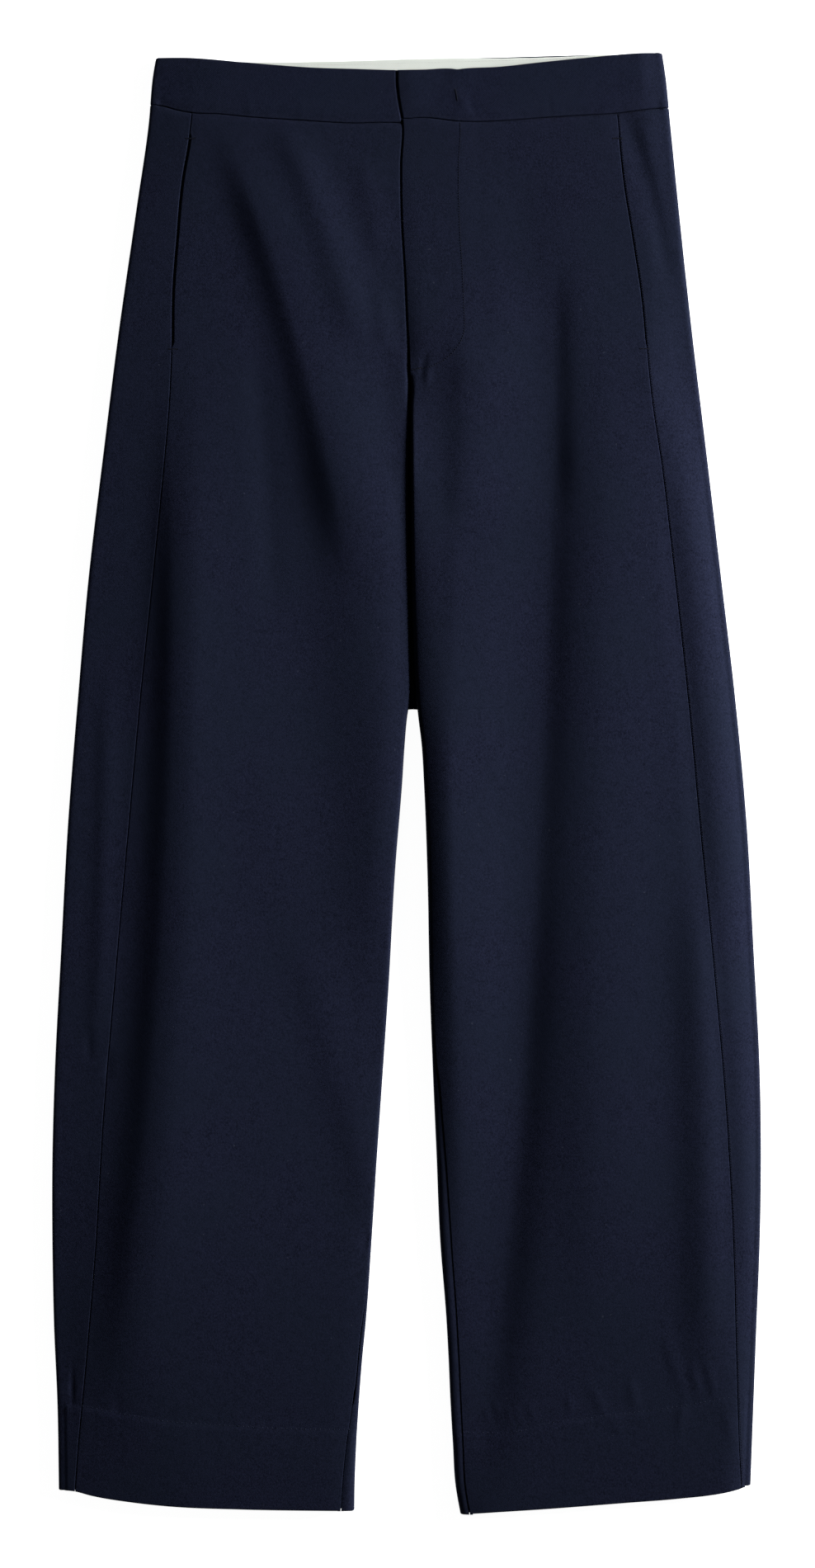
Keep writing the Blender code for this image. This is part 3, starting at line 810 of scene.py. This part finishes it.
def shell(name, skin, side, thickness, turns, material):
    """A closed thin shell between an outer face and its copy moved inward by the thickness."""
    thickness = np.broadcast_to(np.asarray(thickness, float), skin.shape[:2])
    normals = outward_normals(skin, side)
    dip, lift = turned_edges(skin, thickness, turns)
    outer = skin - normals * dip[..., None]
    inner = skin - normals * (thickness - lift)[..., None]
    rows, columns = skin.shape[:2]
    count = rows * columns
    index = np.arange(count).reshape(rows, columns)
    quads = np.stack(
        [index[:-1, :-1], index[:-1, 1:], index[1:, 1:], index[1:, :-1]], axis=-1
    ).reshape(-1, 4)
    rim = np.concatenate([
        index[0], index[1:, -1], index[-1, -2::-1], index[-2:0:-1, 0]
    ])
    after = np.roll(rim, -1)
    rim_quads = np.stack([after, rim, rim + count, after + count], axis=-1)
    faces = np.concatenate([quads, quads[:, ::-1] + count, rim_quads])
    if side < 0:
        faces = faces[:, ::-1]
    points = np.concatenate([outer.reshape(-1, 3), inner.reshape(-1, 3)]) * MM
    mesh = mesh_of(name, points, faces.tolist())
    piece = link(name, mesh, material)
    mesh.set_sharp_from_angle(angle=math.radians(60))
    return piece


def rows_of(zones):
    """The stations of every zone in turn."""
    stations = [
        zone.start + zone.step * i
        for zone in zones
        for i in range(round((zone.stop - zone.start) / zone.step))
    ]
    return np.array(stations + [zones[-1].stop])[:, None]


def leg_panels(leg, material):
    """The front and back panel of one leg, each with its turned-up hem as a thicker band."""
    nominal = rows_of(PANEL_ZONES)
    place = panel_row(leg, nominal)
    hem = ease((nominal - LENGTH + HEM_DEPTH) / 2)
    thickness = CLOTH + (HEM_CLOTH - CLOTH) * hem
    front = to_world(leg, front_skin(leg, place, nominal, side_gap(leg, nominal)))
    back = to_world(leg, back_skin(leg, place, nominal))
    turns = {"top": SEAM_TURN, "bottom": "fold", "first": FINE_TURN, "last": FINE_TURN}
    return [
        shell("cloth_front_" + leg.name, front, leg.side, thickness, turns, material),
        shell("cloth_back_" + leg.name, back, leg.side, thickness, turns, material),
    ]


def waistband(leg, material):
    """Half the waistband, from the centre back round the side to the centre front."""
    share = np.array(WAISTBAND_STATIONS)[:, None]
    place = waistband_row(leg, share)
    guess = WAIST_SEAM * share
    back = back_skin(leg, place, guess)
    front = front_skin(leg, place, guess, 0.0 * share)
    skip = len(EDGE_STATIONS)
    grid = np.concatenate([back[:, :-skip], front[:, skip:]], axis=1)
    skin = to_world(leg, grid)
    turns = {"top": "fold", "bottom": SEAM_TURN, "first": FINE_TURN, "last": "fold"}
    return shell(
        "cloth_waistband_" + leg.name, skin, leg.side, WAISTBAND_CLOTH, turns, material
    )


Reveal = namedtuple("Reveal", "x below")
LINING_REVEALS = [
    Reveal(-190, 0.5),
    Reveal(-60, 0.3),
    Reveal(40, 0.3),
    Reveal(62, 0.8),
    Reveal(120, 0.9),
    Reveal(135, 0.4),
    Reveal(190, 0.4),
]


def waistband_lining(material):
    """The pale strip inside the back of the waistband, seen over the front's dipped edge."""
    margin = EDGE_RADIUS + LINING_PAST_ROLL
    height = WAISTBAND_CLOTH + SEAM_GAP + LINING_CLOTH
    across = np.linspace(
        float(LEFT.outer(0)) - margin, float(RIGHT.outer(0)) + margin, LINING_COLUMNS + 1
    )[None, :]
    below = curve(LINING_REVEALS, "below", "x")(across)
    share = np.array([0, 0.005, 0.015, 0.03, 0.06, 0.1, 0.2, 0.35, 0.5, 0.65, 0.8, 1.0])[:, None]
    down = BACK_TOP(across) + below + (WAISTBAND_DEPTH - 1.5 - below) * share
    grid = np.stack([across + 0 * down, down, np.full(down.shape, height)], axis=-1)
    skin = to_world(LEFT, grid)
    turns = {"top": "fold", "bottom": FINE_TURN, "first": FINE_TURN, "last": FINE_TURN}
    return shell("cloth_waistband_lining", skin, LEFT.side, LINING_CLOTH, turns, material)


def pocket_facing(leg, material):
    """The strip of cloth behind the pocket opening in the side seam."""
    below_skin = CLOTH + FACING_CLEARANCE + 0.1
    down = np.linspace(
        POCKET_TOP - FACING_PAST_OPENING, POCKET_BOTTOM + FACING_PAST_OPENING, FACING_ROWS + 1
    )[:, None]
    seam = leg.side * leg.side_seam(down)
    q = seam + np.linspace(FACING_OUTSIDE, -FACING_INSIDE, FACING_COLUMNS + 1)
    down = down + 0 * q
    grid = np.stack([q, down, top_height(leg, q, down) - below_skin], axis=-1)
    skin = to_world(leg, grid)
    return shell("cloth_pocket_facing_" + leg.name, skin, leg.side, FACING_CLOTH, {}, material)


THREAD_RINGS = 7
THREAD_SIDES = 6


def threads(name, spans, surface, width, arch, material):
    """Short stitches between pairs of (x, down) places, each a small arched bead of thread.

    surface gives the height of a stitch's ends at x and down.
    """
    spans = np.array(spans, float)
    start = spans[:, 0]
    stop = spans[:, 1]
    share = np.linspace(0, 1, THREAD_RINGS)
    centre = start[:, None] + (stop - start)[:, None] * share[None, :, None]
    x = centre[..., 0]
    down = centre[..., 1]
    z = surface(x, down) + arch * np.sin(math.pi * share)
    step = stop - start
    step = step / np.linalg.norm(step, axis=-1, keepdims=True)
    aside = np.stack([step[:, 1], -step[:, 0]], axis=-1)
    radius = width / 2 * (0.35 + 0.65 * np.sin(math.pi * share) ** 0.5)
    turn = 2 * math.pi * np.arange(THREAD_SIDES) / THREAD_SIDES
    offset = radius[:, None] * np.cos(turn)
    lift = radius[:, None] * np.sin(turn)
    ring_x = x[..., None] + aside[:, None, None, 0] * offset
    ring_down = down[..., None] + aside[:, None, None, 1] * offset
    ring_z = z[..., None] + lift
    points = np.stack([ring_x, LENGTH / 2 - ring_down, ring_z], axis=-1).reshape(-1, 3) * MM
    faces = []
    for stitch in range(len(spans)):
        base = stitch * THREAD_RINGS * THREAD_SIDES
        for ring in range(THREAD_RINGS - 1):
            for side in range(THREAD_SIDES):
                a = base + ring * THREAD_SIDES + side
                b = base + ring * THREAD_SIDES + (side + 1) % THREAD_SIDES
                faces.append((a, b, b + THREAD_SIDES, a + THREAD_SIDES))
        end = base + (THREAD_RINGS - 1) * THREAD_SIDES
        faces.append(tuple(range(base + THREAD_SIDES - 1, base - 1, -1)))
        faces.append(tuple(range(end, end + THREAD_SIDES)))
    return link(name, mesh_of(name, points, faces), material)


def on_cloth(leg, sink):
    """The height of a leg's upper face, less how far a stitch sinks into it."""
    return lambda x, down: top_height(leg, leg.side * x, down) - sink


def run_of(points, pitch, length):
    """Stitches of one length along a line of (x, down) points, one every pitch."""
    points = np.array(points, float)
    steps = np.linalg.norm(np.diff(points, axis=0), axis=1)
    travel = np.concatenate([[0], np.cumsum(steps)])
    starts = np.arange(0, travel[-1] - length, pitch)

    def at(distance):
        return np.stack(
            [np.interp(distance, travel, points[:, i]) for i in range(2)], axis=-1
        )

    return list(np.stack([at(starts), at(starts + length)], axis=1))


def bar_of(x, down, length, height, turn, pitch):
    """A bartack: close parallel threads across a short line."""
    spans = []
    direction = np.array([math.cos(turn), math.sin(turn)])
    across = np.array([-direction[1], direction[0]]) * height / 2
    count = int(length / pitch)
    for i in range(count + 1):
        middle = np.array([x, down]) + direction * (i / count - 0.5) * length
        lean = direction * pitch / 2
        spans.append((middle - across - lean, middle + across + lean))
    return spans


def seam_points(leg, start, stop, offset):
    """A line beside a side seam, offset towards the outer side."""
    down = np.arange(start, stop, 2.0)
    return np.stack([leg.side_seam(down) + leg.side * offset, down], axis=-1)


def fly_points():
    """The fly's stitch line, straight down and then curving back to the edge."""
    down = np.concatenate([
        np.arange(WAIST_SEAM, FLY_CURVE_TOP, 3.0), np.linspace(FLY_CURVE_TOP, FLY_BOTTOM, 60)
    ])
    return np.stack([LEFT.inner(down) + fly_width(down), down], axis=-1)


def points_along(line, start, stop):
    """Points on a line that runs across the garment."""
    x = np.arange(start, stop, 2.0)
    return np.stack([x, line(x)], axis=-1)


# Stitch lines and bartacks: pitch and length along the line, and the thread's width.
Stitches = namedtuple("Stitches", "pitch length width sink arch")
SEAM_STITCHES = Stitches(1.85, 1.35, 0.42, 0.12, 0.16)
FLY_STITCHES = Stitches(1.85, 1.35, 0.5, 0.1, 0.14)
WAIST_STITCHES = Stitches(1.85, 1.35, 0.42, 0.16, 0.16)
HEM_STITCHES = Stitches(3.4, 1.0, 0.45, 0.1, 0.14)
BAR_STITCHES = Stitches(0.34, 0.0, 0.38, 0.08, 0.1)
LINING_STITCHES = Stitches(2.4, 1.7, 0.36, 0.0, 0.05)
FLY_CURVE_TOP = 190.0

Bar = namedtuple("Bar", "x down length height turn")
LEFT_BARS = [
    Bar(35.3, 30.6, 8.4, 1.3, 80),
    Bar(7.5, 225.3, 7.0, 1.1, -14),
]


def pocket_bars(leg):
    """The bartacks at the two ends of a pocket opening."""
    bars = []
    for down in (POCKET_TOP - 2.6, POCKET_BOTTOM + 2.2):
        bars.append(Bar(float(leg.side_seam(down)) - leg.side * 1.5, down, 7.0, 1.1, 0))
    return bars


def stitched(name, leg, line, stitches, material):
    spans = run_of(line, stitches.pitch, stitches.length)
    surface = on_cloth(leg, stitches.sink)
    return threads(name, spans, surface, stitches.width, stitches.arch, material)


def all_stitches(material, hem_material):
    """Every stitch line and bartack that shows on the front."""
    side = seam_points(LEFT, 45, 1018, 1.4)
    waist = points_along(lambda x: LEFT.waist_seam(x) + 1.0, 88.0, 186.0)
    pieces = [
        stitched("stitches_side_seam", LEFT, side, SEAM_STITCHES, material),
        stitched("stitches_fly", LEFT, fly_points(), FLY_STITCHES, material),
        stitched("stitches_waist_seam", LEFT, waist, WAIST_STITCHES, material),
    ]
    for leg, ends in ((RIGHT, (-231.0, -38.0)), (LEFT, (40.0, 234.0))):
        hem = points_along(leg.hem_stitches, *ends)
        pieces.append(
            stitched("stitches_hem_" + leg.name, leg, hem, HEM_STITCHES, hem_material)
        )
        spans = []
        for bar in pocket_bars(leg) + (LEFT_BARS if leg is LEFT else []):
            turn = math.radians(bar.turn)
            spans += bar_of(bar.x, bar.down, bar.length, bar.height, turn, BAR_STITCHES.pitch)
        surface = on_cloth(leg, BAR_STITCHES.sink)
        pieces.append(threads(
            "bartacks_" + leg.name, spans, surface, BAR_STITCHES.width, BAR_STITCHES.arch,
            material,
        ))
    return pieces


def lining_stitches(material):
    """The line of stitches just below the lining's top edge."""
    line = points_along(lambda x: BACK_TOP(x) + 2.6, -148.0, 168.0)
    spans = run_of(line, LINING_STITCHES.pitch, LINING_STITCHES.length)
    top = WAISTBAND_CLOTH + SEAM_GAP + LINING_CLOTH
    return threads(
        "stitches_lining", spans, lambda x, down: top + 0 * x, LINING_STITCHES.width,
        LINING_STITCHES.arch, material,
    )


def new_material(name):
    material = bpy.data.materials.new(name)
    material.use_nodes = True
    tree = material.node_tree
    return material, tree, tree.nodes["Principled BSDF"]


def noise(tree, vector, scale, detail, roughness=0.5):
    node = tree.nodes.new("ShaderNodeTexNoise")
    node.inputs["Scale"].default_value = scale
    node.inputs["Detail"].default_value = detail
    node.inputs["Roughness"].default_value = roughness
    tree.links.new(vector, node.inputs["Vector"])
    return node.outputs["Fac"]


def mapped(tree, turn, stretch=(1.0, 1.0, 1.0)):
    """Object coordinates turned about Z and stretched."""
    place = tree.nodes.new("ShaderNodeTexCoord")
    mapping = tree.nodes.new("ShaderNodeMapping")
    mapping.inputs["Rotation"].default_value = (0, 0, turn)
    mapping.inputs["Scale"].default_value = stretch
    tree.links.new(place.outputs["Object"], mapping.inputs["Vector"])
    return mapping.outputs["Vector"]


def stripes(tree, vector, pitch):
    """Fine parallel lines a pitch apart, from 0 to 1."""
    node = tree.nodes.new("ShaderNodeTexWave")
    node.wave_type = "BANDS"
    node.bands_direction = "X"
    node.inputs["Scale"].default_value = 2 * math.pi / pitch / 20
    node.inputs["Distortion"].default_value = 0.6
    node.inputs["Detail"].default_value = 1.0
    tree.links.new(vector, node.inputs["Vector"])
    return node.outputs["Fac"]


def blended(tree, fac, low, high):
    """A colour between two, by a factor."""
    mix = tree.nodes.new("ShaderNodeMix")
    mix.data_type = "RGBA"
    if hasattr(fac, "node"):
        tree.links.new(fac, mix.inputs[0])
    else:
        mix.inputs[0].default_value = fac
    for value, slot in ((low, 6), (high, 7)):
        if hasattr(value, "node"):
            tree.links.new(value, mix.inputs[slot])
        else:
            mix.inputs[slot].default_value = (*value, 1.0)
    return mix.outputs[2]


def remapped(tree, fac, low, high, to_low=0.0, to_high=1.0):
    node = tree.nodes.new("ShaderNodeMapRange")
    node.inputs["From Min"].default_value = low
    node.inputs["From Max"].default_value = high
    node.inputs["To Min"].default_value = to_low
    node.inputs["To Max"].default_value = to_high
    tree.links.new(fac, node.inputs["Value"])
    return node.outputs["Result"]


def summed(tree, a, b, share):
    """a plus a share of b."""
    node = tree.nodes.new("ShaderNodeMath")
    node.operation = "MULTIPLY_ADD"
    tree.links.new(b, node.inputs[0])
    node.inputs[1].default_value = share
    tree.links.new(a, node.inputs[2])
    return node.outputs[0]


def bumped(tree, height, strength, distance):
    bump = tree.nodes.new("ShaderNodeBump")
    bump.inputs["Strength"].default_value = strength
    bump.inputs["Distance"].default_value = distance
    tree.links.new(height, bump.inputs["Height"])
    return bump.outputs["Normal"]


WOOL = (0.0113, 0.0137, 0.0307)
WOOL_DARK = (0.0029, 0.0037, 0.0089)
WOOL_TEAL = (0.0072, 0.0106, 0.0205)
WOOL_FLECK = (0.030, 0.034, 0.052)
# Navy thread in two strand tones, both painted darker than the cloth: the dark is painted shade of
# the stitch holes and of the groove along each stitch line, over the thread's own navy.
PAINTED_SHADE_THREAD_LOW = (0.0025, 0.0032, 0.0075)
PAINTED_SHADE_THREAD_HIGH = (0.0045, 0.0056, 0.0120)
HEM_THREAD_DARK = (0.0130, 0.0160, 0.0300)
HEM_THREAD = (0.0200, 0.0240, 0.0420)
TWILL_PITCH = 0.00075
TWILL_ANGLE = math.radians(58)


def wool(name, grain):
    """Navy wool twill: fine diagonal lines, mixed fibres, a short nap and a few pale specks."""
    material, tree, shader = new_material(name)
    flat = mapped(tree, grain)
    twill = stripes(tree, mapped(tree, grain + TWILL_ANGLE), TWILL_PITCH)
    fibre = noise(tree, mapped(tree, grain, (1.0, 0.7, 1.0)), 1000, 3.0, 0.7)
    mottle = noise(tree, flat, 160, 4.0, 0.6)
    drift = noise(tree, flat, 14, 2.0)
    speck = noise(tree, flat, 420, 0.0)
    colour = blended(tree, remapped(tree, fibre, 0.34, 0.66), WOOL_DARK, WOOL)
    colour = blended(tree, remapped(tree, mottle, 0.35, 0.65, 0.0, 0.35), colour, WOOL)
    colour = blended(tree, remapped(tree, drift, 0.4, 0.62, 0.0, 0.4), colour, WOOL_TEAL)
    colour = blended(tree, remapped(tree, twill, 0.0, 1.0, 0.25, 0.0), colour, WOOL_DARK)
    colour = blended(tree, remapped(tree, speck, 0.85, 0.9, 0.0, 0.45), colour, WOOL_FLECK)
    tree.links.new(colour, shader.inputs["Base Color"])
    shader.inputs["Roughness"].default_value = 0.88
    shader.inputs["Specular IOR Level"].default_value = 0.03
    shader.inputs["Sheen Weight"].default_value = 0.006
    shader.inputs["Sheen Roughness"].default_value = 0.5
    shader.inputs["Sheen Tint"].default_value = (0.42, 0.5, 0.85, 1.0)
    height = summed(tree, twill, fibre, 0.9)
    height = summed(tree, height, mottle, 1.6)
    tree.links.new(bumped(tree, height, 0.7, 0.00012), shader.inputs["Normal"])
    return material


def thread_material(name, low, high):
    material, tree, shader = new_material(name)
    strand = stripes(tree, mapped(tree, 0.6), 0.00035)
    colour = blended(tree, strand, low, high)
    tree.links.new(colour, shader.inputs["Base Color"])
    shader.inputs["Roughness"].default_value = 0.75
    shader.inputs["Specular IOR Level"].default_value = 0.08
    tree.links.new(bumped(tree, strand, 0.4, 0.00008), shader.inputs["Normal"])
    return material


def lining_material(name, thread=False):
    """Off-white twill tape: fine slanted ribs and a slight mottle."""
    material, tree, shader = new_material(name)
    rib = stripes(tree, mapped(tree, math.radians(38)), 0.0011)
    mottle = noise(tree, mapped(tree, 0.0, (1.0, 0.5, 1.0)), 120, 3.0)
    low, high = ((0.58, 0.61, 0.57), (0.68, 0.71, 0.66))
    if thread:
        low, high = ((0.48, 0.50, 0.46), (0.62, 0.64, 0.59))
    colour = blended(tree, remapped(tree, rib, 0.0, 1.0, 0.35, 1.0), low, high)
    colour = blended(tree, remapped(tree, mottle, 0.35, 0.7, 0.0, 0.4), colour, low)
    tree.links.new(colour, shader.inputs["Base Color"])
    shader.inputs["Roughness"].default_value = 0.75
    shader.inputs["Specular IOR Level"].default_value = 0.25
    shader.inputs["Sheen Weight"].default_value = 0.05
    normal = bumped(tree, summed(tree, rib, mottle, 0.5), 0.4, 0.00015)
    tree.links.new(normal, shader.inputs["Normal"])
    return material


def floor_material():
    """A white sweep that stays white under the garment's faint shadow."""
    material, tree, shader = new_material("white_floor")
    paper = noise(tree, mapped(tree, 0.0), 40, 4.0)
    colour = blended(tree, paper, (0.80, 0.80, 0.80), (0.84, 0.84, 0.84))
    tree.links.new(colour, shader.inputs["Base Color"])
    shader.inputs["Roughness"].default_value = 0.95
    shader.inputs["Specular IOR Level"].default_value = 0.0
    shader.inputs["Emission Color"].default_value = (1.0, 1.0, 1.0, 1.0)
    shader.inputs["Emission Strength"].default_value = 0.95
    return material


FLOOR_SIZE = 8.0
FLOOR_DROP = 0.0002


def floor():
    mesh = bpy.data.meshes.new("floor")
    half = FLOOR_SIZE / 2
    corners = [(-half, -half, 0), (half, -half, 0), (half, half, 0), (-half, half, 0)]
    mesh.from_pydata(corners, [], [(0, 1, 2, 3)])
    mesh.materials.append(floor_material())
    piece = bpy.data.objects.new("floor", mesh)
    piece.location.z = -FLOOR_DROP
    bpy.context.scene.collection.objects.link(piece)


def area_light(name, place, target, size, power, spread):
    light = bpy.data.lights.new(name, "AREA")
    light.shape = "DISK"
    light.size = size
    light.energy = power
    light.spread = math.radians(spread)
    lamp = bpy.data.objects.new(name, light)
    lamp.location = place
    direction = Vector(target) - Vector(place)
    lamp.rotation_euler = direction.to_track_quat("-Z", "Y").to_euler()
    bpy.context.scene.collection.objects.link(lamp)


KEY_TARGET = (0.10, 0.10, 0.0)
KEY_DISTANCE = 2.7
KEY_HEIGHT = math.radians(18)
KEY_TURN = math.radians(14)
KEY_SIZE = 1.2
KEY_POWER = 38.0
KEY_SPREAD = 60
FILL_STRENGTH = 0.06


def lights():
    """A low soft key from the garment's left, and a weak even fill."""
    level = KEY_DISTANCE * math.cos(KEY_HEIGHT)
    place = (
        KEY_TARGET[0] + level * math.cos(KEY_TURN),
        KEY_TARGET[1] + level * math.sin(KEY_TURN),
        KEY_DISTANCE * math.sin(KEY_HEIGHT),
    )
    area_light("key", place, KEY_TARGET, KEY_SIZE, KEY_POWER, KEY_SPREAD)
    world = bpy.data.worlds.new("studio")
    world.use_nodes = True
    background = world.node_tree.nodes["Background"]
    background.inputs["Color"].default_value = (1.0, 1.0, 1.0, 1.0)
    background.inputs["Strength"].default_value = FILL_STRENGTH
    bpy.context.scene.world = world


# The photograph is framed straight down, 1115 mm from the top of the picture to its foot.
CAMERA_HEIGHT = 3.0
FRAME_HEIGHT = 1.1153
SENSOR = 36.0
CAMERA_X = 0.0006
CAMERA_Y = -0.0004
MIDDLE_HEIGHT = 0.008


def camera():
    data = bpy.data.cameras.new("camera")
    data.sensor_fit = "AUTO"
    data.sensor_width = SENSOR
    data.lens = SENSOR * (CAMERA_HEIGHT - MIDDLE_HEIGHT) / FRAME_HEIGHT
    eye = bpy.data.objects.new("camera", data)
    eye.location = (CAMERA_X, CAMERA_Y, CAMERA_HEIGHT)
    bpy.context.scene.collection.objects.link(eye)
    bpy.context.scene.camera = eye


def declare(node):
    """Hide the solid of the node that a cloth piece stands for."""
    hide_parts(node)


def build():
    camera()
    cloth = wool("navy_wool", 0.0)
    back_cloth = wool("navy_wool_back", math.radians(4))
    band_cloth = wool("navy_wool_band", math.radians(90))
    pale = lining_material("pale_lining")
    # The navy thread carries painted shade: darker than the cloth, for the shade in the stitch
    # holes and along the stitch lines.
    thread = thread_material("navy_thread_painted_shade", PAINTED_SHADE_THREAD_LOW, PAINTED_SHADE_THREAD_HIGH)
    hem_thread = thread_material("hem_thread", HEM_THREAD_DARK, HEM_THREAD)
    stitches = all_stitches(thread, hem_thread)
    lining_thread = lining_stitches(lining_material("pale_thread", True))
    for leg in (RIGHT, LEFT):
        front, back = leg_panels(leg, cloth)
        back.data.materials[0] = back_cloth
        mine = [s for s in stitches if s.name.endswith(leg.name)]
        if leg is LEFT:
            mine += [s for s in stitches if not s.name.endswith(("right", "left"))]
        declare("front_" + leg.name)
        declare("back_" + leg.name)
        band = waistband(leg, band_cloth)
        declare("waistband_" + leg.name)
        facing = pocket_facing(leg, cloth)
        declare("pocket_facing_" + leg.name)
    lining = waistband_lining(pale)
    declare(
        "waistband_lining",
    )
    floor()
    lights()
    bpy.context.scene.view_settings.view_transform = "Standard"


build()
bpy.context.view_layer.update()
